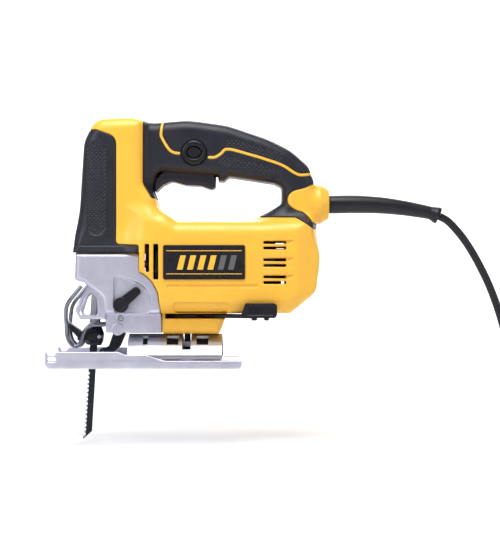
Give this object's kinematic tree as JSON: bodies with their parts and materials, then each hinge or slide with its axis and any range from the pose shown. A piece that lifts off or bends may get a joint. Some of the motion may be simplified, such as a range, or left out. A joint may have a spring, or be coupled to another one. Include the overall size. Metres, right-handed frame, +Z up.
{
  "type": "jigsaw power tool",
  "caption": "Corded top-handle jigsaw: moulded housing with soft grips, cast gear case, orbital blade drive, tilting shoe, trigger, lead and plug.",
  "frame": {"origin": "on the sole of the shoe, midway between its sides, on the axis that the shoe tilts about", "axes": "+X from the blade towards the lead, +Y towards the tool's right side, +Z up from the sole"},
  "size_m": [0.4891, 0.1114, 0.2661],
  "materials": {
    "yellow_plastic": "satin moulded",
    "soft_grip": "matte textured",
    "label": "printed",
    "cast_alloy": "sand-cast",
    "steel": "machined",
    "black_plastic": "satin",
    "carbon": "matt",
    "core_steel": "laminated",
    "brass": "bare",
    "cord_rubber": "satin",
    "copper": "bare",
    "blade_steel": "dark, bright tooth tips"
  },
  "bodies": {
    "housing": {"housing_left": "yellow_plastic", "housing_right": "yellow_plastic", "front_grip_left": "soft_grip", "front_grip_right": "soft_grip", "handle_grip_left": "soft_grip", "handle_grip_right": "soft_grip", "badge_left": "label", "badge_right": "label", "gear_case": "cast_alloy", "bearing_plate": "cast_alloy", "front_bearing": "steel", "rear_bearing": "steel", "brush_ring": "black_plastic", "brush_left": "carbon", "brush_right": "carbon", "stator": "core_steel", "upper_bush": "brass", "lower_bush": "brass", "wire_guard_left": "steel", "wire_guard_right": "steel", "arm_pin": "steel", "clamp_plate": "steel", "switch_body": "black_plastic", "lock_bezel": "black_plastic", "cord_guard": "cord_rubber", "housing_screw_1": "steel", "housing_screw_2": "steel", "housing_screw_3": "steel", "housing_screw_4": "steel", "cord": "cord_rubber", "cord_tail": "cord_rubber", "cord_coil": "cord_rubber", "plug": "cord_rubber", "plug_pin_left": "brass", "plug_pin_right": "brass"},
    "armature": {"motor_shaft": "steel", "pinion": "steel", "fan": "black_plastic", "armature_core": "core_steel", "commutator": "copper"},
    "crank": {"crank_gear": "steel", "gear_shaft": "steel"},
    "plunger": {"plunger": "steel", "yoke": "steel", "blade_clamp": "steel", "clamp_pin": "steel", "blade": "blade_steel"},
    "clamp_lever": {"clamp_lever": "black_plastic"},
    "pendulum_arm": {"pendulum_arm": "steel", "roller_pin": "steel"},
    "guide_roller": {"guide_roller": "steel"},
    "selector": {"selector_knob": "black_plastic"},
    "shoe": {"shoe": "cast_alloy", "saddle": "steel", "liner_front": "black_plastic", "liner_rear": "black_plastic"},
    "bevel_lever": {"bevel_lever": "black_plastic", "clamp_bolt": "steel"},
    "trigger": {"trigger": "black_plastic"},
    "lock_button": {"lock_button": "black_plastic"}
  },
  "joints": [
    {"name": "armature_spin", "type": "hinge", "parent": "housing", "child": "armature", "pos_m": [0.05, 0, 0.0845], "axis": [1, 0, 0], "continuous": true},
    {"name": "crank_spin", "type": "hinge", "parent": "housing", "child": "crank", "pos_m": [-0.02, 0, 0.10685], "axis": [1, 0, 0], "continuous": true},
    {"name": "blade_stroke", "type": "slide", "parent": "housing", "child": "plunger", "axis": [0.061, 0, 0.9981], "range_m": [0, 0.026]},
    {"name": "clamp_lever_turn", "type": "hinge", "parent": "plunger", "child": "clamp_lever", "pos_m": [-0.0355, 0, 0.0244], "axis": [0, 1, 0], "range_deg": [-30, 0], "stiffness_Nm_per_rad": 0.02, "springref_deg": 5.73},
    {"name": "pendulum_swing", "type": "hinge", "parent": "housing", "child": "pendulum_arm", "pos_m": [-0.017, 0, 0.04], "axis": [0, 1, 0], "range_deg": [-3, 0]},
    {"name": "roller_spin", "type": "hinge", "parent": "pendulum_arm", "child": "guide_roller", "pos_m": [-0.033, 0, 0.0108], "axis": [0, 1, 0], "continuous": true},
    {"name": "selector_turn", "type": "hinge", "parent": "housing", "child": "selector", "pos_m": [-0.0153, -0.029, 0.051], "axis": [0, 1, 0], "range_deg": [-40, 40]},
    {"name": "shoe_bevel", "type": "hinge", "parent": "housing", "child": "shoe", "pos_m": [0, 0, 0], "axis": [1, 0, 0], "range_deg": [-45, 45]},
    {"name": "bevel_lever_swing", "type": "hinge", "parent": "housing", "child": "bevel_lever", "pos_m": [0.037, 0, 0.0416], "axis": [0, 0, 1], "range_deg": [-70, 0]},
    {"name": "trigger_pull", "type": "hinge", "parent": "housing", "child": "trigger", "pos_m": [0.0125, 0, 0.155], "axis": [0, 1, 0], "range_deg": [-6, 0], "stiffness_Nm_per_rad": 2, "springref_deg": 8.59},
    {"name": "lock_press", "type": "slide", "parent": "housing", "child": "lock_button", "axis": [0, 1, 0], "range_m": [0, 0.003], "stiffness_N_per_m": 300, "springref_m": -0.002}
  ],
  "couplings": [
    {"joint": "armature_spin", "follows": "crank_spin", "ratio": -4.5}
  ]
}
